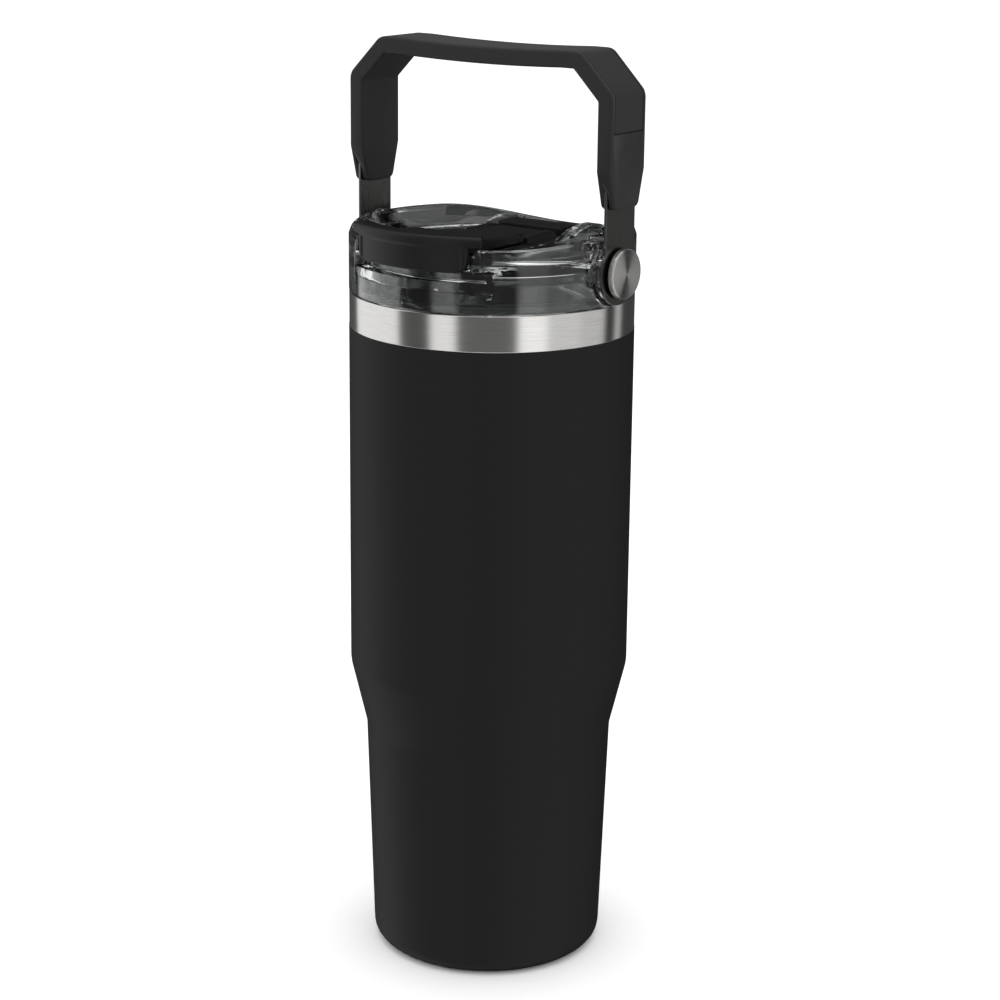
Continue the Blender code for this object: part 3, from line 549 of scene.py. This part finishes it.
# ==== Gasket, vent valve and sip seal ====
# Soft translucent grey silicone, compression-moulded, slightly dusty in the light.
gasket = turn("gasket", rounded(in_mm([
    (37.1, 218.5, 0.2), (39.8, 218.5, 0.3), (40.7, 219.2, 0.3), (39.8, 219.9, 0.2),
    (39.8, 220.5, 0.2), (40.7, 221.2, 0.3), (39.8, 221.9, 0.3), (37.1, 221.9, 0.2)]), steps=3))
silicone, tree, shader = new_material("grey silicone rubber", {
    "Base Color": linear("#77787a"), "Roughness": 0.55, "Subsurface Weight": 0.15,
    "Subsurface Scale": 1.0 * MM, "Sheen Weight": 0.2})
place = add_node(tree, "ShaderNodeTexCoord")
dust = add_node(tree, "ShaderNodeTexNoise", {"Scale": 1 / (0.8 * MM), "Detail": 4.0},
                {"Vector": place.outputs["Object"]})
tone = add_node(tree, "ShaderNodeValToRGB", {}, {"Fac": dust.outputs["Fac"]})
tone.color_ramp.elements[0].color = linear("#6e6f71")
tone.color_ramp.elements[1].color = linear("#828385")
tree.links.new(tone.outputs[0], shader.inputs["Base Color"])
finish_with(gasket, "gasket", "silicone", silicone, stands_for=["lid_gasket"])
refinish("vent_valve", silicone)
refinish("sip_seal", silicone)


# ==== Cap cradle ====
# A black polypropylene tub snapped into the deck. It has an ear at each side for the cap's
# hinge pin, a well for the knuckle, and a block behind that stops the cap.
cradle_half = 12.5 * MM
cradle = prism("cradle", box_outline(-cradle_half, -26.6 * MM, cradle_half, 31.0 * MM, 0.8 * MM),
               "Z", 227.6 * MM, 239.4 * MM)
inner_half = cradle_half - 0.1 * MM
ears = prism("ears", rounded(in_mm([
    (2.0, 230.0, 0.0), (2.0, 241.8, 1.0), (17.6, 241.8, 2.4), (17.6, 230.0, 0.0)])), "X",
    -inner_half, inner_half)
stop_block = prism("stop_block", rounded(in_mm([
    (20.0, 230.0, 0.0), (20.0, 242.0, 0.8), (31.0, 242.0, 2.0), (31.0, 230.0, 0.0)])), "X",
    -inner_half, inner_half)
ledge = prism("ledge", box_outline(-14.3 * MM, -26.2 * MM, 14.3 * MM, 32.0 * MM, 0.8 * MM), "Z",
              233.6 * MM, 235.1 * MM)
combine(cradle, "UNION", ears, stop_block, ledge)
knuckle_half = 9.7 * MM
front_well = prism("front_well", box_outline(-11.1 * MM, -25.2 * MM, 11.1 * MM, 0.0, 0.6 * MM),
                   "Z", 234.4 * MM, 245.0 * MM)
knuckle_well = prism("knuckle_well", box_outline(-knuckle_half, -2.6 * MM, knuckle_half,
                                                 18.4 * MM, 0.3 * MM), "Z",
                     228.8 * MM, 245.0 * MM)
cap_pivot = (8.5 * MM, 238.6 * MM)
pin_hole = prism("pin_hole", circle(*cap_pivot, 1.7 * MM, steps=24), "X",
                 -11.7 * MM, 11.7 * MM)
combine(cradle, "DIFFERENCE", front_well, knuckle_well, pin_hole)
soften(cradle, 0.3 * MM)

# Polypropylene with carbon black, moulded in a spark-eroded tool: satin, with a grain so
# fine that it only breaks up the gloss.
black, tree, shader = new_material("black polypropylene", {
    "Base Color": linear("#101011"), "Roughness": 0.42, "IOR": 1.49,
    "Specular IOR Level": 0.25})
place = add_node(tree, "ShaderNodeTexCoord")
spark = add_node(tree, "ShaderNodeTexNoise", {"Scale": 1 / (0.25 * MM), "Detail": 3.0},
                 {"Vector": place.outputs["Object"]})
gloss = add_node(tree, "ShaderNodeMapRange", {"To Min": 0.36, "To Max": 0.50},
                 {"Value": spark.outputs["Fac"]})
tree.links.new(gloss.outputs[0], shader.inputs["Roughness"])
bump = add_node(tree, "ShaderNodeBump", {"Strength": 0.25, "Distance": 0.015 * MM},
                {"Height": spark.outputs["Fac"]})
tree.links.new(bump.outputs[0], shader.inputs["Normal"])
finish_with(cradle, "lid", "black_plastic", black, stands_for=["cap_cradle"])
refinish("cap_pin", blasted)


# ==== Flip cap ====
# One soft-cornered black moulding: a curved flange to lift with a thumb, a skirt that
# covers the cut-back rim, and an arm that runs back to a knuckle on the hinge pin.
flange_r = 46.9
flange = turn("sip_cap", rounded(in_mm([
    (41.2, 244.5, 0.4), (flange_r, 244.5, 0.3), (flange_r, 248.0, 2.2), (41.2, 248.0, 0.5)])))
keep = prism("keep", sector(30.0 * MM, 60.0 * MM, radians(32.5)), "Z", 240.0 * MM, 252.0 * MM)
combine(flange, "INTERSECT", keep)

skirt_half = 20.9 * MM
skirt = turn("skirt", rounded(in_mm([
    (45.0, 236.6, 0.3), (flange_r, 236.6, 0.3), (flange_r, 245.5, 0.0), (45.0, 245.5, 0.0)])))
panel = prism("panel", rounded([
    (-skirt_half, 236.6 * MM, 4.0 * MM), (skirt_half, 236.6 * MM, 4.0 * MM),
    (skirt_half, 246.0 * MM, 0.0), (-skirt_half, 246.0 * MM, 0.0)]), "Y", -50 * MM, -30 * MM)
combine(skirt, "INTERSECT", panel)
border = 1.5 * MM
inset_top = 245.2
inset_half = skirt_half - border
inset = turn("inset", rounded(in_mm([
    (46.5, 230.0, 0.0), (48.5, 230.0, 0.0), (48.5, inset_top, 0.0), (46.5, inset_top, 0.4)])))
inset_shape = prism("inset_shape", rounded([
    (-inset_half, 230.0 * MM, 0.0), (inset_half, 230.0 * MM, 0.0),
    (inset_half, inset_top * MM, 1.2 * MM), (-inset_half, inset_top * MM, 1.2 * MM)]),
    "Y", -50 * MM, -30 * MM)
combine(inset, "INTERSECT", inset_shape)
combine(skirt, "DIFFERENCE", inset)

arm_half = 12.3 * MM
hidden_end = -42.5                        # the arm and the neck end inside the flange
arm = prism("arm", rounded(in_mm([
    (hidden_end, 239.8, 0.0), (hidden_end, 247.6, 0.0), (-38.5, 247.4, 3.0), (-30.0, 245.2, 8.0),
    (-21.0, 243.9, 8.0), (-5.0, 242.5, 8.0), (-0.5, 242.0, 1.0), (0.6, 239.8, 0.0)])), "X",
    -arm_half, arm_half)
neck = prism("neck", rounded(in_mm([
    (-16.0, hidden_end, 0.0), (16.0, hidden_end, 0.0), (16.0, -30.0, 3.0), (12.2, -23.5, 3.0),
    (-12.2, -23.5, 3.0), (-16.0, -30.0, 3.0)])), "Z", 242.6 * MM, 245.4 * MM)
knuckle = prism("knuckle", rounded(in_mm([
    (-2.0, 238.8, 0.0), (-2.0, 242.1, 0.0), (16.6, 241.4, 1.0), (17.0, 239.2, 1.0),
    (11.5, 235.2, 3.0), (6.0, 235.2, 3.0)])), "X", -9.4 * MM, 9.4 * MM)
combine(flange, "UNION", skirt, arm, neck, knuckle)
pin_bore = prism("pin_bore", circle(*cap_pivot, 1.7 * MM, steps=24), "X", -20 * MM, 20 * MM)
seal_socket = prism("seal_socket", box_outline(-4.0 * MM, sip_y - 1.6 * MM, 4.0 * MM,
                                               sip_y + 1.6 * MM), "Z", 238.0 * MM, 241.8 * MM)
combine(flange, "DIFFERENCE", pin_bore, seal_socket)

# Remeshing at a fine pitch and relaxing it gives every edge the small radius of a moulding.
melt = flange.modifiers.new("melt", "REMESH")
melt.mode = "VOXEL"
melt.voxel_size = 0.32 * MM
melt.use_smooth_shade = True
relax = flange.modifiers.new("relax", "SMOOTH")
relax.factor = 0.5
relax.iterations = 6
bpy.context.view_layer.objects.active = flange
for step in (melt.name, relax.name):
    bpy.ops.object.modifier_apply(modifier=step)
finish_with(flange, "cap", "black_plastic", black, stands_for=["flip_cap"])


# ==== Bail strap ====
# One strip of 1 mm stainless steel, folded into a flat-topped U, with round eyes at its
# ends. It is brushed along its length and its edges are tumbled bright.
bail_x = 48.4 * MM                        # middle of a leg
bail_top = 299.45 * MM                    # middle of the top bar
corner_cut = 10.8 * MM
strap_t = 1.0 * MM
strap_half = 7.75 * MM
bar_bow = 0.8 * MM                        # the bar sags this much at its middle


def bail_outline(low_z, inner, outer, inner_radius, outer_radius):
    """A U in the XZ plane between two offsets from the bail's middle line."""
    mitre = tan(radians(22.5))
    corners = []
    for offset, radius, order in ((outer, outer_radius, 1), (inner, inner_radius, -1)):
        leg = [(bail_x + offset, low_z, 0.0),
               (bail_x + offset, bail_top - corner_cut + offset * mitre, radius),
               (bail_x - corner_cut + offset * mitre, bail_top + offset, radius)]
        bar_half = bail_x - corner_cut - 6.0 * MM
        bar = [(bar_half * share, bail_top + offset - bar_bow * (1 - share * share), 0.0)
               for share in (1.0, 0.75, 0.5, 0.25)]
        half = leg + bar
        middle = [(0.0, bail_top + offset - bar_bow, 0.0)]
        whole = half + middle + [(-x, z, radius) for x, z, radius in reversed(half)]
        corners += whole[::order]
    return rounded(corners, steps=5)


strap = prism("strap", bail_outline(pivot_z + 5 * MM, -strap_t / 2, strap_t / 2, 2.5 * MM,
                                    3.5 * MM), "Y", -strap_half, strap_half)
for side in (1, -1):
    near = side * (bail_x - strap_t / 2)
    far = side * (bail_x + strap_t / 2)
    eye = prism("eye", circle(0.0, pivot_z, 10.0 * MM, steps=72), "X", near, far)
    combine(strap, "UNION", eye)
    hole = prism("hole", circle(0.0, pivot_z, 4.2 * MM), "X", side * 47.0 * MM, side * 50.0 * MM)
    combine(strap, "DIFFERENCE", hole)
soften(strap, 0.14 * MM, segments=2)

# Brushed stainless strip: the scratches run along the strip, upright on the legs.
strip, tree, shader = new_material("brushed steel strip", {
    "Base Color": linear("#696866"), "Metallic": 1.0, "Roughness": 0.30})
place = add_node(tree, "ShaderNodeTexCoord")
stretch = add_node(tree, "ShaderNodeMapping",
                   {"Scale": (1 / (10 * MM), 1 / (0.12 * MM), 1 / (10 * MM))},
                   {"Vector": place.outputs["Object"]})
scratches = add_node(tree, "ShaderNodeTexNoise", {"Scale": 1.0, "Detail": 3.0},
                     {"Vector": stretch.outputs[0]})
gloss = add_node(tree, "ShaderNodeMapRange", {"To Min": 0.24, "To Max": 0.30},
                 {"Value": scratches.outputs["Fac"]})
tree.links.new(gloss.outputs[0], shader.inputs["Roughness"])
tone = add_node(tree, "ShaderNodeValToRGB", {}, {"Fac": scratches.outputs["Fac"]})
tone.color_ramp.elements[0].color = linear("#646361")
tone.color_ramp.elements[1].color = linear("#6d6c6a")
tree.links.new(tone.outputs[0], shader.inputs["Base Color"])
bump = add_node(tree, "ShaderNodeBump", {"Strength": 0.04, "Distance": 0.004 * MM},
                {"Height": scratches.outputs["Fac"]})
tree.links.new(bump.outputs[0], shader.inputs["Normal"])
finish_with(strap, "bail", "strap_steel", strip, stands_for=["bail_strap"])


# ==== Grip ====
# Soft-touch rubber moulded over the strap: flat faces with a broken front edge, round
# outer corners, and legs that narrow to let the steel out at the bottom.
grip_t = 5.3 * MM
grip_half = 9.6 * MM
grip_low = 254.4 * MM
taper_top = 266.7 * MM
grip = prism("grip", bail_outline(grip_low, -grip_t / 2, grip_t / 2, 1.0 * MM, 4.5 * MM), "Y",
             -grip_half, grip_half)
for side in (1, -1):
    for front in (1, -1):
        wedge = prism("wedge", rounded([
            (front * 14.0 * MM, grip_low - MM, 0.0), (front * 3.6 * MM, grip_low - MM, 0.0),
            (front * 3.6 * MM, grip_low, 0.0), (front * 6.6 * MM, grip_low + 0.3 * MM, 2.4 * MM),
            (front * 7.8 * MM, grip_low + 5.0 * MM, 4.0 * MM),
            (front * 9.7 * MM, taper_top, 6.0 * MM),
            (front * 9.7 * MM, taper_top + 3 * MM, 0.0),
            (front * 14.0 * MM, taper_top + 3 * MM, 0.0)]), "X",
            side * 44.0 * MM, side * 53.0 * MM)
        combine(grip, "DIFFERENCE", wedge)
soften(grip, 0.8 * MM, segments=4)
channel = prism("channel", bail_outline(grip_low - 5 * MM, -0.8 * MM, 0.8 * MM, 2.5 * MM,
                                        3.5 * MM), "Y", -8.05 * MM, 8.05 * MM)
pad_low = 278.0 * MM
pad_half = 7.6 * MM
pad_t = 0.8 * MM
groove = prism("groove", bail_outline(pad_low - 0.3 * MM, grip_t / 2 - 1.0 * MM,
                                      grip_t / 2 + 1.0 * MM, 3.5 * MM, 5.0 * MM), "Y",
               -pad_half - 0.3 * MM, pad_half + 0.3 * MM)
combine(grip, "DIFFERENCE", channel, groove)

# Thermoplastic rubber with a soft-touch texture: dead matt, and a shade lighter where
# the light grazes it.
rubber, tree, shader = new_material("soft-touch overmould", {
    "Base Color": linear("#1a1a1b"), "Roughness": 0.62, "Specular IOR Level": 0.34,
    "Sheen Weight": 0.05, "Sheen Roughness": 0.5})
place = add_node(tree, "ShaderNodeTexCoord")
texture = add_node(tree, "ShaderNodeTexNoise", {"Scale": 1 / (0.3 * MM), "Detail": 4.0},
                   {"Vector": place.outputs["Object"]})
gloss = add_node(tree, "ShaderNodeMapRange", {"To Min": 0.56, "To Max": 0.70},
                 {"Value": texture.outputs["Fac"]})
tree.links.new(gloss.outputs[0], shader.inputs["Roughness"])
bump = add_node(tree, "ShaderNodeBump", {"Strength": 0.3, "Distance": 0.03 * MM},
                {"Height": texture.outputs["Fac"]})
tree.links.new(bump.outputs[0], shader.inputs["Normal"])
finish_with(grip, "bail", "soft_grip", rubber, stands_for=["bail_grip"])


# ==== Grip pad ====
# A thin strip of firmer rubber let into the outer face of the grip, down both legs.
pad = prism("pad", bail_outline(pad_low, grip_t / 2 - pad_t, grip_t / 2, 3.7 * MM, 4.5 * MM),
            "Y", -pad_half, pad_half)
soften(pad, 0.25 * MM, segments=2)
pad_rubber = rubber.copy()
pad_rubber.name = "firm pad rubber"
pad_shader = pad_rubber.node_tree.nodes["Principled BSDF"]
pad_shader.inputs["Base Color"].default_value = linear("#19191a")
finish_with(pad, "bail", "soft_grip", pad_rubber, stands_for=["grip_pad"])


# ==== Pivots ====
# Each end of the bail turns on a stainless shoulder screw over a black nylon washer, in a
# knurled insert. The screw's flat head is spun, so it shows a bright bow tie.
spun, tree, shader = new_material("spun stainless steel", {
    "Base Color": linear("#c8c7c5"), "Metallic": 1.0, "Roughness": 0.24,
    "Anisotropic": 1.0, "Anisotropic Rotation": 0.25})
place = add_node(tree, "ShaderNodeTexCoord")
centred = add_node(tree, "ShaderNodeMapping", {"Location": (0.0, 0.0, -pivot_z)},
                   {"Vector": place.outputs["Object"]})
flattened = add_node(tree, "ShaderNodeMapping", {"Scale": (0.0, 1.0, 1.0)},
                     {"Vector": centred.outputs[0]})
spoke = add_node(tree, "ShaderNodeVectorMath", {"operation": "LENGTH"},
                 {0: flattened.outputs[0]})
ring_pitch = 0.20 * MM                    # real turning marks are finer than this shows
rings = add_node(tree, "ShaderNodeTexNoise",
                 {"noise_dimensions": "1D", "Scale": 1 / ring_pitch, "Detail": 3.0},
                 {"W": spoke.outputs["Value"]})
gloss = add_node(tree, "ShaderNodeMapRange", {"To Min": 0.22, "To Max": 0.26},
                 {"Value": rings.outputs["Fac"]})
tree.links.new(gloss.outputs[0], shader.inputs["Roughness"])
tone = add_node(tree, "ShaderNodeValToRGB", {}, {"Fac": rings.outputs["Fac"]})
tone.color_ramp.elements[0].color = linear("#b9b8b6")
tone.color_ramp.elements[1].color = linear("#c4c3c1")
tree.links.new(tone.outputs[0], shader.inputs["Base Color"])
bump = add_node(tree, "ShaderNodeBump", {"Strength": 0.08, "Distance": 0.004 * MM},
                {"Height": rings.outputs["Fac"]})
tree.links.new(bump.outputs[0], shader.inputs["Normal"])
head_tangent = add_node(tree, "ShaderNodeTangent", {"direction_type": "RADIAL", "axis": "X"})
tree.links.new(head_tangent.outputs[0], shader.inputs["Tangent"])

nylon, tree, shader = new_material("black nylon", {
    "Base Color": linear("#0e0e0e"), "Roughness": 0.45, "IOR": 1.53})
place = add_node(tree, "ShaderNodeTexCoord")
wear = add_node(tree, "ShaderNodeTexNoise", {"Scale": 1 / (0.6 * MM)},
                {"Vector": place.outputs["Object"]})
gloss = add_node(tree, "ShaderNodeMapRange", {"To Min": 0.38, "To Max": 0.52},
                 {"Value": wear.outputs["Fac"]})
tree.links.new(gloss.outputs[0], shader.inputs["Roughness"])

insert_steel, tree, shader = new_material("knurled stainless steel", {
    "Base Color": linear("#b0afad"), "Metallic": 1.0, "Roughness": 0.35})
place = add_node(tree, "ShaderNodeTexCoord")
knurl = add_node(tree, "ShaderNodeTexWave", {"Scale": 1 / (2.4 * MM), "bands_direction": "X"},
                 {"Vector": place.outputs["Object"]})
bump = add_node(tree, "ShaderNodeBump", {"Strength": 0.6, "Distance": 0.1 * MM},
                {"Height": knurl.outputs["Fac"]})
tree.links.new(bump.outputs[0], shader.inputs["Normal"])

for side, name in ((1, "right"), (-1, "left")):
    screw = turn(f"screw_{name}", rounded([
        (radius * MM, side * height * MM, corner * MM) for radius, height, corner in (
            (0.0, 40.2, 0.0), (2.2, 40.2, 0.3), (2.2, 47.9, 0.0), (3.9, 47.9, 0.15),
            (3.9, 49.8, 0.0), (8.0, 49.8, 0.25), (8.0, 51.7, 0.55), (0.0, 51.7, 0.0))]),
        steps=96, axis="X", centre=pivot)
    finish_with(screw, "lid", "spun_steel", spun, stands_for=[f"pivot_screw_{name}"])
    washer = turn(f"washer_{name}", rounded([
        (radius * MM, side * height * MM, 0.08 * MM) for radius, height in (
            (4.2, 49.1), (7.0, 49.1), (7.0, 49.5), (4.2, 49.5))]),
        steps=96, axis="X", centre=pivot)
    finish_with(washer, "lid", "nylon", nylon, stands_for=[f"pivot_washer_{name}"])
    refinish(f"pivot_insert_{name}", insert_steel)
